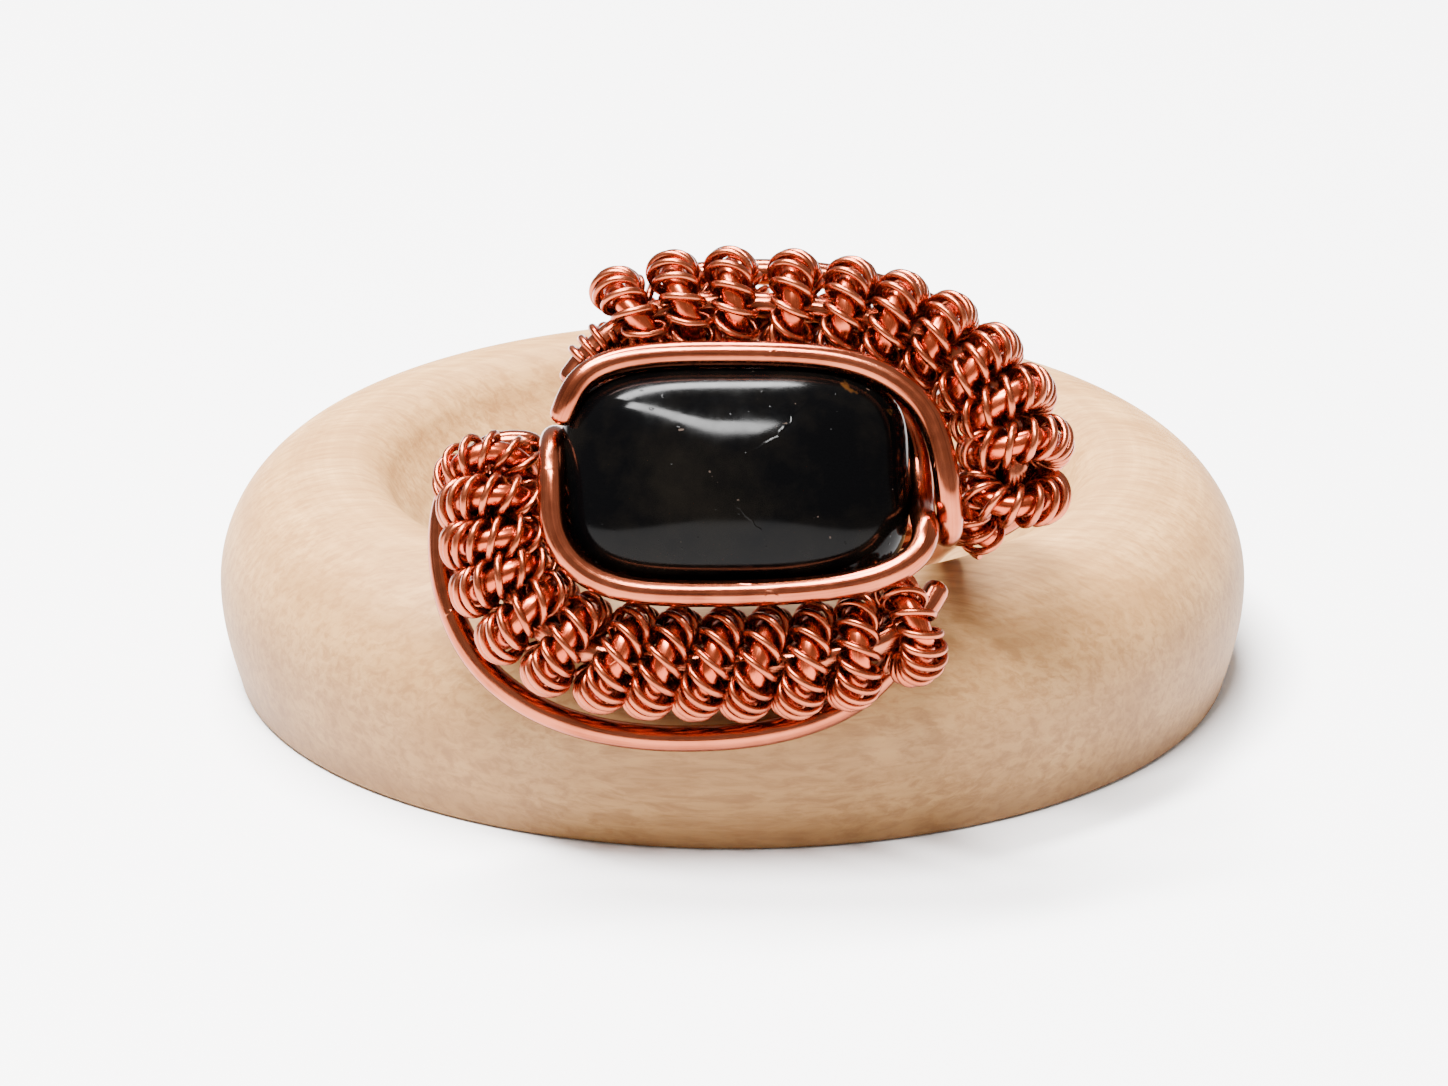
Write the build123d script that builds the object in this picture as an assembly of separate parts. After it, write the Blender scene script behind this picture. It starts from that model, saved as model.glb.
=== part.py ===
from build123d import *
import math
import os

# A wire-wrapped ring with one long stone, leaning astride the rim of a turned wooden dish.
# Millimetres, +Z up. The origin is the centre of the dish's flat foot.
# The ring is drawn in a frame of its own, with its origin at the centre of the finger hole:
# x along the stone, y across it along the finger, z out of the stone's face.

# Wires
wire_d = 1.2             # the three heavy wires of the shank
core_d = 1.08            # the wire that is coiled round the arm wires
fine_d = 0.32            # the thin wire wound on the coiled wire
wire_gap = 0.05          # air between wires that lie side by side

# Finger hole
finger_d = 16.5

# Stone
stone_l = 15.4
stone_w = 9.96
stone_h = 5.6
stone_corner_r = 3.6     # the two lower corners, seen from above
stone_crown_r = 5.0      # the two upper corners
stone_least_r = 0.6      # the least rounding of an outline's corners
stone_shift = -0.45      # the stone sits a little to the left in its frame
stone_drop = 0.75        # from the frame wire's level down to the stone's middle
frame_gap_x = 0.5        # from the stone's end to the frame wire
frame_lap_y = 0.205      # how far the frame wire laps over the stone's widest place

# Coils
coil_reach_x = 3.2       # from the frame wire to the coil's axis at the ring's ends
coil_reach_y = 2.9       # the same at its long sides
outer_reach_x = 2.1      # from the coil's axis to the outer wire at the ends
outer_reach_y = 3.0      # the same at the long sides
frame_rise = 2.35        # from the coil's axis up to the frame wire
outer_drop = 2.3         # from the coil's axis down to the outer wire
loop_slack = 0.1         # air between the coiled wire and the fine loops round it
coil_gap = 0.13          # air between the fine wire and the arm wire
turn_steps = 10          # corners of the path in one turn, each rounded by an arc

# Dish
dish_d = 50.0
dish_h = 10.85
dish_wide_z = 4.7        # height of the widest place
dish_crest_r = 18.85     # radius of the top of the rim
dish_foot_inset = 0.8    # how far the foot is drawn in below the widest place
dish_foot_round = 0.4
dish_floor_h = 2.5       # wood under the hollow
dish_floor_r = 5.0       # radius of the hollow's flat floor
dish_lip_r = 2.5         # rounding from the crest into the hollow

# Seat of the ring on the rim
face_tilt = 29.5         # angle of the face's normal above the horizontal
rest_gap = 0.22          # air between the ring and the wood
rim_angle = 35.5         # where on the rim's outer rounding the lower coil leans
coil_back = 8.25         # the coil's axis where it leans, measured down the face
ring_shift = 0.64        # the ring sits a little to the right of the dish's centre

# Derived sizes
wire_r = wire_d / 2
pitch = wire_d + wire_gap
shank_r = finger_d / 2 + wire_r
core_orbit = wire_r + coil_gap + fine_d + core_d / 2
loop_r = core_d / 2 + loop_slack + fine_d / 2
coil_r = core_orbit + loop_slack + loop_r + fine_d / 2
coil_z = finger_d / 2 + coil_r
frame_z = coil_z + frame_rise
outer_z = coil_z - outer_drop
frame_x = stone_l / 2 + frame_gap_x + wire_r
frame_y = stone_w / 2 - frame_lap_y + wire_r
coil_x = frame_x + coil_reach_x
coil_y = frame_y + coil_reach_y
outer_x = coil_x + outer_reach_x
outer_y = coil_y + outer_reach_y

# Shoulders on the right, from the shank up to the face.
# Columns: out and up in wire pitches from the shank's middle wire, height as a share of the
# height of the face wire that it leads to.
FRAME_SHOULDER = [
    (-0.40, -0.05, 0.29),
    (-0.75, -0.55, 0.47),
    (-0.80, -1.30, 0.63),
    (-0.20, -1.70, 0.80),
]
COIL_SHOULDER = [
    (0.15, 0.95, 0.23),
    (0.80, 0.45, 0.48),
    (1.60, -0.35, 0.72),
    (2.30, -0.65, 0.88),
]
OUTER_SHOULDER = [
    (0.45, -0.92, 0.29),
    (0.58, -1.10, 0.66),
    (0.55, -1.55, 0.99),
]

# Courses of the wires over the face, from the shoulder to the free end.
# Columns: shares of the course's half length, half width and height.
FRAME_UPPER = [
    (1.045, -0.500, 0.88),
    (1.045, -0.240, 0.965),
    (1.03, 0.050, 1.00),
    (0.975, 0.360, 1.00),
    (0.87, 0.620, 1.00),
    (0.66, 0.868, 1.00),
    (0.35, 0.983, 1.00),
    (-0.10, 1.000, 1.00),
    (-0.45, 0.990, 1.00),
    (-0.70, 0.925, 1.00),
    (-0.84, 0.790, 1.00),
    (-0.90, 0.620, 0.995),
    (-0.932, 0.500, 0.97),
]
FRAME_LOWER = [
    (-0.99, 0.266, 0.93),
    (-0.99, -0.038, 1.00),
    (-0.99, -0.400, 1.00),
    (-0.935, -0.660, 1.00),
    (-0.80, -0.880, 1.00),
    (-0.58, -1.000, 1.00),
    (-0.25, -1.020, 1.00),
    (0.10, -1.010, 1.00),
    (0.40, -0.980, 1.02),
    (0.66, -0.910, 1.04),
    (0.85, -0.745, 1.045),
    (0.905, -0.545, 1.03),
    (0.895, -0.400, 0.980),
    (0.90, -0.270, 0.875),
    (0.915, 0.000, 0.80),
    (0.915, 0.280, 0.78),
    (0.86, 0.540, 0.78),
    (0.74, 0.740, 0.78),
]
COIL_UPPER = [
    (1.01, 0.034, 1.00),
    (0.99, 0.329, 1.00),
    (0.86, 0.594, 1.00),
    (0.63, 0.810, 1.00),
    (0.33, 0.942, 1.00),
    (0.00, 0.977, 1.00),
    (-0.28, 0.967, 1.00),
    (-0.52, 0.820, 1.00),
    (-0.655, 0.575, 0.98),
]
COIL_LOWER = [
    (-0.93, -0.113, 1.00),
    (-0.93, -0.400, 1.00),
    (-0.85, -0.700, 1.00),
    (-0.67, -0.908, 1.00),
    (-0.40, -0.987, 1.00),
    (-0.08, -0.997, 1.00),
    (0.22, -0.987, 1.00),
    (0.47, -0.908, 1.00),
    (0.64, -0.760, 1.00),
    (0.705, -0.600, 0.965),
]
OUTER_LOWER = [
    (-0.72, 0.190, 1.00),
    (-0.84, 0.178, 1.01),
    (-0.95, 0.020, 0.98),
    (-0.985, -0.164, 0.98),
    (-0.967, -0.429, 1.00),
    (-0.87, -0.704, 1.00),
    (-0.67, -0.901, 1.00),
    (-0.40, -1.000, 1.00),
    (-0.11, -1.010, 1.00),
    (0.14, -0.969, 1.00),
    (0.355, -0.855, 0.97),
    (0.475, -0.690, 0.92),
]
OUTER_UPPER = [
    (0.70, -0.205, 1.02),
    (0.83, -0.178, 1.00),
    (0.94, -0.065, 0.95),
    (0.97, 0.091, 0.95),
    (0.935, 0.356, 0.98),
    (0.77, 0.601, 0.98),
    (0.55, 0.788, 1.00),
    (0.28, 0.876, 1.00),
    (0.00, 0.896, 1.00),
    (-0.24, 0.866, 1.00),
]

# The stone's outlines from its underside up.
# Columns: height above the underside, and how far the outline is drawn in.
STONE_OUTLINES = [
    (0.00, 1.75),
    (0.23, 0.88),
    (0.87, 0.23),
    (1.80, 0.00),
    (3.13, 0.23),
    (4.26, 0.88),
    (4.92, 1.60),
    (5.37, 2.47),
    (stone_h, 3.20),
]

# Turns of each coil.
# Columns: where the turn crosses the front of its arm, as a share of the arm's route, and how
# far its two sides are slid along the route, in opposite directions.
UPPER_TURNS = [
    (0.319, -0.60),
    (0.371, -0.60),
    (0.426, -0.60),
    (0.476, -0.50),
    (0.529, -0.50),
    (0.583, -0.45),
    (0.637, -0.50),
    (0.702, -0.60),
    (0.774, -0.70),
    (0.834, -0.75),
    (0.894, -0.75),
]
LOWER_TURNS = [
    (0.314, -0.10),
    (0.362, -0.25),
    (0.405, -0.30),
    (0.453, -0.25),
    (0.516, -0.10),
    (0.588, 0.05),
    (0.641, 0.05),
    (0.699, 0.00),
    (0.756, -0.05),
    (0.816, -0.10),
    (0.877, -0.10),
    (0.950, -0.10),
]

# Turns of a coil before its first and after its last listed crossing.
UPPER_LEADS = (0.35, 0.55)
LOWER_LEADS = (0.25, 0.30)

RUN_SHARE = 0.45         # share of the shorter run that each corner's arc takes up
SEAT_MOVES = 12          # moves in which the ring is let down to the rim


def half_turn(points):
    """The same points turned half round about the face's normal."""
    return [Vector(-p.X, -p.Y, p.Z) for p in points]


def shoulder(table, level, side_up):
    """Points of a right shoulder; side_up is the wire's place in the shank, in pitches."""
    points = [Vector(shank_r, side_up * pitch, 0)]
    for out, up, height in table:
        points.append(Vector(shank_r + out * pitch, up * pitch, height * level))
    return points


def course(table, half_x, half_y, level):
    """Points of a wire over the face."""
    return [Vector(half_x * x, half_y * y, level * z) for x, y, z in table]


def rounded_path(points):
    """Straight runs joined by tangent arcs as large as the runs allow."""
    radii = []
    for before, corner, after in zip(points, points[1:], points[2:]):
        run_in = corner - before
        run_out = after - corner
        half_angle = math.radians(run_in.get_angle(run_out)) / 2
        radii.append(RUN_SHARE * min(run_in.length, run_out.length) / math.tan(half_angle))
    return FilletPolyline(*points, radius=radii)


def joined(*pieces):
    """One wire from paths that meet end to end."""
    edges = []
    for piece in pieces:
        edges.extend(piece.edges())
    return Wire(edges)


def tube(path, radius):
    """A round wire along a path."""
    start = Plane(origin=path @ 0, z_dir=path % 0)
    return sweep(start * Circle(radius), path=path)


def shank_arc(side_up):
    """The half hoop under the finger, from the left side to the right."""
    y = side_up * pitch
    return ThreePointArc((-shank_r, y, 0), (0, y, -shank_r), (shank_r, y, 0))


def whole_wire(left_points, right_points, side_up):
    """A wire's path from its free end on one arm, through the shank, to its other end."""
    left = rounded_path(list(reversed(left_points)))
    right = rounded_path(right_points)
    return joined(left, shank_arc(side_up), right)


def upright_frame(along):
    """Directions square to a route: towards the face's front, and sideways."""
    front = Vector(0, 0, 1) - along * along.Z
    front = front.normalized()
    return front, along.cross(front)


def turn_at(turns, count):
    """Share and slide at a turn number, running straight between the listed turns."""
    index = min(max(int(math.floor(count)), 0), len(turns) - 2)
    part = count - index
    share, slide = turns[index]
    next_share, next_slide = turns[index + 1]
    return share + (next_share - share) * part, slide + (next_slide - slide) * part


def coil_path(route, turns, leads):
    """The left-hand coil round a route, as a rounded path with turn_steps corners a turn."""
    first = -leads[0]
    last = len(turns) - 1 + leads[1]
    steps = round((last - first) * turn_steps)
    points = []
    for step in range(steps + 1):
        count = first + (last - first) * step / steps
        angle = 2 * math.pi * count
        share, slide = turn_at(turns, count)
        place = share + slide * math.sin(angle) / route.length
        along = (route % place).normalized()
        front, side = upright_frame(along)
        swing = front * math.cos(angle) - side * math.sin(angle)
        points.append(route @ place + swing * core_orbit)
    return rounded_path(points)


def stone_outline(inset, height):
    """The stone's outline seen from above, drawn in by inset all round."""
    end, edge = stone_l / 2 - inset, stone_w / 2 - inset
    corner = max(stone_corner_r - inset, stone_least_r)
    crown = max(stone_crown_r - inset, stone_least_r)
    return Pos(0, 0, height) * FilletPolyline(
        (-end, -edge), (end, -edge), (end, edge), (-end, edge),
        radius=[corner, corner, crown, crown],
        close=True,
    )


def make_stone():
    """A puffed rounded rectangle, lofted through its outlines from the underside to the face."""
    outlines = [stone_outline(inset, height) for height, inset in STONE_OUTLINES]
    body = loft([make_face(outline) for outline in outlines])
    return Pos(stone_shift, 0, frame_z - stone_drop - stone_h / 2) * body


def make_dish():
    """The turned dish: a rounded rim round a smooth hollow."""
    wide_r = dish_d / 2
    foot_r = wide_r - dish_foot_inset
    shoulder_r = wide_r - dish_crest_r
    shoulder_h = dish_h - dish_wide_z
    lip_base = dish_h - dish_lip_r
    # the concave floor meets the convex lip at the slope where both arcs close
    floor_drop = dish_h - dish_floor_h
    hollow_run = dish_crest_r - dish_floor_r
    hollow_r = (hollow_run ** 2 + floor_drop ** 2) / (2 * floor_drop) - dish_lip_r
    hollow_z = dish_floor_h + hollow_r
    lean = math.atan2(hollow_run, hollow_z - lip_base)
    meet = (dish_crest_r - dish_lip_r * math.sin(lean), lip_base + dish_lip_r * math.cos(lean))
    lip_mid = (
        dish_crest_r - dish_lip_r * math.sin(lean / 2),
        lip_base + dish_lip_r * math.cos(lean / 2),
    )
    floor_edge = (dish_floor_r, dish_floor_h)
    floor_mid = (
        dish_floor_r + hollow_r * math.sin(lean / 2),
        hollow_z - hollow_r * math.cos(lean / 2),
    )
    crest = (dish_crest_r, dish_h)
    rim_mid = (
        dish_crest_r + shoulder_r * math.sin(math.pi / 4),
        dish_wide_z + shoulder_h * math.cos(math.pi / 4),
    )
    widest = (wide_r, dish_wide_z)
    foot_edge = (foot_r, dish_foot_round)
    side_mid = (wide_r - dish_foot_inset / 4, (dish_wide_z + dish_foot_round) / 2)
    foot = (foot_r - dish_foot_round, 0)
    outline = [
        Line((0, 0), foot),
        Line(foot, foot_edge),
        ThreePointArc(foot_edge, side_mid, widest),
        ThreePointArc(widest, rim_mid, crest),
        ThreePointArc(crest, lip_mid, meet),
        ThreePointArc(meet, floor_mid, floor_edge),
        Line(floor_edge, (0, dish_floor_h)),
        Line((0, dish_floor_h), (0, 0)),
    ]
    profile = make_face(Curve() + [Plane.XZ * edge for edge in outline])
    return revolve(profile, Axis.Z)


def ring_plane(lift):
    """The ring's own frame, lifted off from where its lower coil leans on the rim."""
    tilt = math.radians(face_tilt)
    normal = Vector(0, -math.cos(tilt), math.sin(tilt))
    face_up = Vector(0, math.sin(tilt), math.cos(tilt))
    rim_r = (dish_d / 2 - dish_crest_r + dish_h - dish_wide_z) / 2
    lean = math.radians(rim_angle)
    reach = rim_r + coil_r + rest_gap
    coil_centre = Vector(
        ring_shift,
        -dish_crest_r - reach * math.cos(lean),
        dish_wide_z + reach * math.sin(lean) + lift,
    )
    origin = coil_centre + face_up * coil_back - normal * coil_z
    return Plane(origin=origin, x_dir=(1, 0, 0), z_dir=normal)


def seated(dish, wires):
    """Lets the ring straight down until its nearest wire is rest_gap from the wood.

    wires holds a path and a radius each. A move is never longer than the air that is left,
    so the ring can't pass into the wood.
    """
    lift = dish_lip_r
    for _ in range(SEAT_MOVES):
        seat = ring_plane(lift).location
        air = min(dish.distance_to(seat * path) - radius for path, radius in wires)
        lift -= air - rest_gap
    return ring_plane(lift).location


def main():
    os.makedirs("parts", exist_ok=True)
    frame_shoulder = shoulder(FRAME_SHOULDER, frame_z, 0)
    coil_shoulder = shoulder(COIL_SHOULDER, coil_z, 1)
    outer_shoulder = shoulder(OUTER_SHOULDER, outer_z, -1)

    frame_right = frame_shoulder + course(FRAME_UPPER, frame_x, frame_y, frame_z)
    frame_left = half_turn(frame_shoulder) + course(FRAME_LOWER, frame_x, frame_y, frame_z)
    coil_right = coil_shoulder + course(COIL_UPPER, coil_x, coil_y, coil_z)
    coil_left = half_turn(coil_shoulder) + course(COIL_LOWER, coil_x, coil_y, coil_z)
    outer_right = outer_shoulder + course(OUTER_UPPER, outer_x, outer_y, outer_z)
    outer_left = half_turn(outer_shoulder) + course(OUTER_LOWER, outer_x, outer_y, outer_z)

    frame_path = whole_wire(frame_left, frame_right, 0)
    upper_path = whole_wire(outer_left, coil_right, 1)
    lower_path = whole_wire(coil_left, outer_right, -1)
    upper_coil = coil_path(rounded_path(coil_right), UPPER_TURNS, UPPER_LEADS)
    lower_coil = coil_path(rounded_path(coil_left), LOWER_TURNS, LOWER_LEADS)

    dish = make_dish()
    wound_r = loop_r + fine_d / 2
    seat = seated(dish, [
        (frame_path, wire_r),
        (upper_path, wire_r),
        (lower_path, wire_r),
        (upper_coil, wound_r),
        (lower_coil, wound_r),
    ])
    pieces = {
        "stone": make_stone(),
        "frame_wire": tube(frame_path, wire_r),
        "upper_arm_wire": tube(upper_path, wire_r),
        "lower_arm_wire": tube(lower_path, wire_r),
        "upper_coil_core": tube(upper_coil, core_d / 2),
        "lower_coil_core": tube(lower_coil, core_d / 2),
    }
    for name, piece in pieces.items():
        export_step(seat * piece, f"parts/{name}.step")
    export_step(dish, "parts/dish.step")


main()
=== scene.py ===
import math

import bpy
import numpy as np
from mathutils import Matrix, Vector


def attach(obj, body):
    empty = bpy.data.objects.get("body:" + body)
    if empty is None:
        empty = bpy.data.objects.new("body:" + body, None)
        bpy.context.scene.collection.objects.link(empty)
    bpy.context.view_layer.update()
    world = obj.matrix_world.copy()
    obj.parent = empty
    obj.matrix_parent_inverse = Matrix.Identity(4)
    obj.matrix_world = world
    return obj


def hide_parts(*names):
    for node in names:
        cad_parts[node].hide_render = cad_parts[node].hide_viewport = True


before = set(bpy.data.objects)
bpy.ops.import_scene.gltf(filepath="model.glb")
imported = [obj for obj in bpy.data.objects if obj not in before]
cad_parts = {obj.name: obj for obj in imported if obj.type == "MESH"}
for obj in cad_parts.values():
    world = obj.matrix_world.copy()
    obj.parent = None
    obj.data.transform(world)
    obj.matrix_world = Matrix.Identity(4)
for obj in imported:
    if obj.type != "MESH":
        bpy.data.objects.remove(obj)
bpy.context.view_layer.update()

MM = 0.001

# The camera: the photograph's height, distance and framing
CAM_UP = math.radians(20.6)
CAM_DIST = 0.300
CAM_NEAR, CAM_FAR = 0.01, 20.0
SENSOR_W = 36.0
TARGET = Vector((0.0, 0.0, 0.005))
FOCAL_PX = 6126.0
IMAGE_W = 1448.0
SEEN_AT = (732.5, 562.0)
IMAGE_MID = (724.0, 543.0)

back = Vector((0.0, -math.cos(CAM_UP), math.sin(CAM_UP)))
cam_data = bpy.data.cameras.new("camera")
cam_data.sensor_width = SENSOR_W
cam_data.lens = FOCAL_PX / IMAGE_W * SENSOR_W
cam_data.shift_x = -(SEEN_AT[0] - IMAGE_MID[0]) / IMAGE_W
cam_data.shift_y = (SEEN_AT[1] - IMAGE_MID[1]) / IMAGE_W
cam_data.clip_start = CAM_NEAR
cam_data.clip_end = CAM_FAR
camera = bpy.data.objects.new("camera", cam_data)
bpy.context.scene.collection.objects.link(camera)
camera.location = TARGET + back * CAM_DIST
camera.rotation_euler = (-back).to_track_quat("-Z", "Y").to_euler()
bpy.context.scene.camera = camera

# Sizes in mm, the same as the solids have
WIRE_D = 1.2
CORE_D = 1.08
FINE_D = 0.32
WIRE_GAP = 0.05
FINGER_D = 16.5
STONE_L, STONE_W, STONE_H = 15.4, 9.96, 5.6
STONE_DROP = 0.75
FRAME_GAP_X, FRAME_LAP_Y = 0.50, 0.205
FRAME_RISE, OUTER_DROP = 2.35, 2.3
COIL_REACH_X, COIL_REACH_Y = 3.2, 2.9
OUTER_REACH_X, OUTER_REACH_Y = 2.1, 3.0
LOOP_SLACK = 0.1
COIL_GAP = 0.13
WIRE_R = WIRE_D / 2
PITCH = WIRE_D + WIRE_GAP
SHANK_R = FINGER_D / 2 + WIRE_R
CORE_ORBIT = WIRE_R + COIL_GAP + FINE_D + CORE_D / 2
LOOP_R = CORE_D / 2 + LOOP_SLACK + FINE_D / 2
COIL_R = CORE_ORBIT + LOOP_SLACK + LOOP_R + FINE_D / 2
COIL_Z = FINGER_D / 2 + COIL_R
FRAME_Z = COIL_Z + FRAME_RISE
OUTER_Z = COIL_Z - OUTER_DROP
FRAME_X = STONE_L / 2 + FRAME_GAP_X + WIRE_R
FRAME_Y = STONE_W / 2 - FRAME_LAP_Y + WIRE_R
COIL_X, COIL_Y = FRAME_X + COIL_REACH_X, FRAME_Y + COIL_REACH_Y
OUTER_X, OUTER_Y = COIL_X + OUTER_REACH_X, COIL_Y + OUTER_REACH_Y

DISH_D, DISH_H = 50.0, 10.85
DISH_WIDE_Z, DISH_CREST_R = 4.7, 18.85
DISH_FOOT_INSET, DISH_FOOT_ROUND = 0.8, 0.4
DISH_FLOOR_H, DISH_FLOOR_R, DISH_LIP_R = 2.5, 5.0, 2.5

# Sizes in mm that are shown a little larger than the solids have them
SHOWN_FINE_R, SHOWN_LOOP_R = 0.185, 0.87
SHOWN_STONE_L, SHOWN_STONE_W = 15.7, 10.24
SHOWN_STONE_SHIFT = -0.55

# The stone's shape: how far its girth lies below its middle in mm, and the exponents of its curves
STONE_GIRTH = 1.0
STONE_PLAN = 3.6
PUFF_ABOVE, PUFF_BELOW = 2.12, 2.1

# Where the ring sits, in mm
TILT = math.radians(29.5)
RO = np.array([0.64, -12.644, 11.8344])

RX = np.array([1.0, 0.0, 0.0])
RY = np.array([0.0, math.sin(TILT), math.cos(TILT)])
RZ = np.array([0.0, -math.cos(TILT), math.sin(TILT)])

# Shoulders: out and up in wire pitches, height as a share of the level they lead to
FRAME_SHOULDER = [
    (-0.40, -0.05, 0.29), (-0.75, -0.55, 0.47), (-0.80, -1.30, 0.63), (-0.20, -1.70, 0.80),
]
COIL_SHOULDER = [
    (0.15, 0.95, 0.23), (0.80, 0.45, 0.48), (1.60, -0.35, 0.72), (2.30, -0.65, 0.88),
]
OUTER_SHOULDER = [
    (0.45, -0.92, 0.29), (0.58, -1.10, 0.66), (0.55, -1.55, 0.99),
]

# Courses round the stone: x and y as shares of the half sizes, height as a share of the level
FRAME_UPPER = [
    (1.035, -0.500, 0.88), (1.025, -0.240, 0.965), (1.003, 0.050, 1.00), (0.957, 0.360, 1.00),
    (0.87, 0.620, 1.00), (0.66, 0.868, 1.00), (0.35, 0.983, 1.00), (-0.10, 1.000, 1.00),
    (-0.45, 0.990, 1.00), (-0.70, 0.925, 1.00), (-0.84, 0.790, 1.00), (-0.90, 0.620, 0.995),
    (-0.932, 0.500, 0.97),
]
FRAME_LOWER = [
    (-0.99, 0.266, 0.93), (-0.99, -0.038, 1.00), (-0.99, -0.400, 1.00), (-0.935, -0.660, 1.00),
    (-0.80, -0.880, 1.00), (-0.58, -1.000, 1.00), (-0.25, -1.020, 1.00), (0.10, -1.010, 1.00),
    (0.40, -0.980, 1.02), (0.66, -0.910, 1.04), (0.85, -0.745, 1.045), (0.905, -0.545, 1.03),
    (0.895, -0.400, 0.980), (0.89, -0.270, 0.875), (0.883, 0.000, 0.80), (0.872, 0.280, 0.77),
    (0.82, 0.530, 0.76), (0.72, 0.720, 0.76),
]
COIL_UPPER = [
    (1.01, 0.034, 1.00), (0.99, 0.329, 1.00), (0.86, 0.594, 1.00), (0.63, 0.810, 1.00),
    (0.33, 0.942, 1.00), (0.00, 0.977, 1.00), (-0.28, 0.967, 1.00), (-0.52, 0.820, 1.00),
    (-0.655, 0.575, 0.98),
]
COIL_LOWER = [
    (-0.93, -0.113, 1.00), (-0.93, -0.400, 1.00), (-0.85, -0.700, 1.00), (-0.67, -0.908, 1.00),
    (-0.40, -0.987, 1.00), (-0.08, -0.997, 1.00), (0.22, -0.987, 1.00), (0.47, -0.908, 1.00),
    (0.64, -0.760, 1.00), (0.705, -0.600, 0.965),
]
OUTER_LOWER = [
    (-0.72, 0.190, 1.00), (-0.84, 0.178, 1.01), (-0.95, 0.020, 0.98), (-0.985, -0.164, 0.98),
    (-0.967, -0.429, 1.00), (-0.87, -0.704, 1.00), (-0.67, -0.901, 1.00), (-0.40, -1.000, 1.00),
    (-0.11, -1.010, 1.00), (0.14, -0.969, 1.00), (0.355, -0.855, 0.97), (0.475, -0.690, 0.92),
]
OUTER_UPPER = [
    (0.70, -0.185, 1.02), (0.83, -0.140, 1.00), (0.92, -0.020, 0.95), (0.945, 0.110, 0.95),
    (0.925, 0.356, 0.98), (0.77, 0.601, 0.98), (0.55, 0.788, 1.00), (0.28, 0.876, 1.00),
    (0.00, 0.896, 1.00), (-0.24, 0.866, 1.00),
]

# Turns of the coils: share of the arm's route, and how far the turn's sides slide along it in mm
UPPER_TURNS = [
    (0.305, -0.50), (0.355, -0.50), (0.407, -0.50), (0.461, -0.50), (0.521, -0.50),
    (0.579, -0.45), (0.637, -0.50), (0.702, -0.60), (0.774, -0.70), (0.834, -0.75),
    (0.894, -0.75),
]
LOWER_TURNS = [
    (0.334, -0.20), (0.377, -0.40), (0.420, -0.50), (0.472, -0.45), (0.530, -0.25),
    (0.594, 0.05), (0.647, 0.15), (0.703, 0.15), (0.758, 0.10), (0.817, 0.05),
    (0.877, -0.05), (0.950, -0.10),
]

# Turns before the first and after the last of the table
UPPER_LEADS = (1.25, 0.55)
LOWER_LEADS = (1.25, 0.47)

# The fine wire's loops in one turn: spread evenly, and bunched on the turn's outer side
LOOPS_EVEN, LOOPS_BUNCHED = 12.3, 11.0
BUNCH_TIGHT, OUTER_SIDE = 3.0, 0.75

# One loop of the fine wire: depth and width as shares of its radius, lean and stand-off in mm
LOOP_DEEP, LOOP_WIDE = 0.93, 0.97
LOOP_LEAN = 0.20
LOOP_OFF = LOOP_SLACK * 0.5

# What is added where the loops are bunched: radius, stand-off and share of width
BUNCH_R, BUNCH_OFF, BUNCH_WIDE = 0.03, 0.05, 0.16

# Unevenness: its length along the wire in turns or loops, then its size in each direction
COIL_WAVE, COIL_SWING, COIL_SWELL = 1.3, 0.10, 0.025
FINE_WAVE, FINE_SWING, FINE_SWELL, FINE_SWAY = 1.7, 0.04, 0.018, 0.04
WRAP_WAVE, WRAP_SWELL, WRAP_SWAY = 1.3, 0.015, 0.02

# How finely the lines are cut: mm, points in a turn, and points in a stretch of spline
LINE_STEP, ROUTE_STEP, FINE_STEP, WRAP_STEP = 0.10, 0.05, 0.118, 0.08
TURN_CUTS, SPLINE_CUTS, SHANK_CUTS, CAP_CUTS = 96, 24, 12, 4

# How much the spline is pushed out to its points, and the shank's points out from its circle
SPLINE_HUG, SHANK_HUG = 0.06, 0.6


def to_world(points):
    """Ring millimetres to metres in the row's frame."""
    p = np.asarray(points, float)
    return (RO + p[..., 0:1] * RX + p[..., 1:2] * RY + p[..., 2:3] * RZ) * MM


def shoulder(table, level, side_up):
    pts = [(SHANK_R, side_up * PITCH, 0.0)]
    pts += [(SHANK_R + o * PITCH, u * PITCH, h * level) for o, u, h in table]
    return np.array(pts)


def course(table, half_x, half_y, level):
    return np.array([(half_x * x, half_y * y, level * z) for x, y, z in table])


def half_turn(pts):
    return pts * np.array([-1.0, -1.0, 1.0])


def unit(v):
    return v / np.maximum(np.linalg.norm(v, axis=-1, keepdims=True), 1e-12)


def run_along(pts):
    """Length of a line from its start to each of its points."""
    return np.concatenate([[0], np.cumsum(np.linalg.norm(np.diff(pts, axis=0), axis=1))])


def values_at(at, where, values):
    """Rows of three values, read between the places where they are given."""
    return np.stack([np.interp(at, where, values[:, i]) for i in range(3)], 1)


def resample(pts, step):
    """The same line with points about step apart."""
    run = run_along(pts)
    n = max(int(round(run[-1] / step)), 2)
    return values_at(np.linspace(0, run[-1], n + 1), run, pts)


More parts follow.
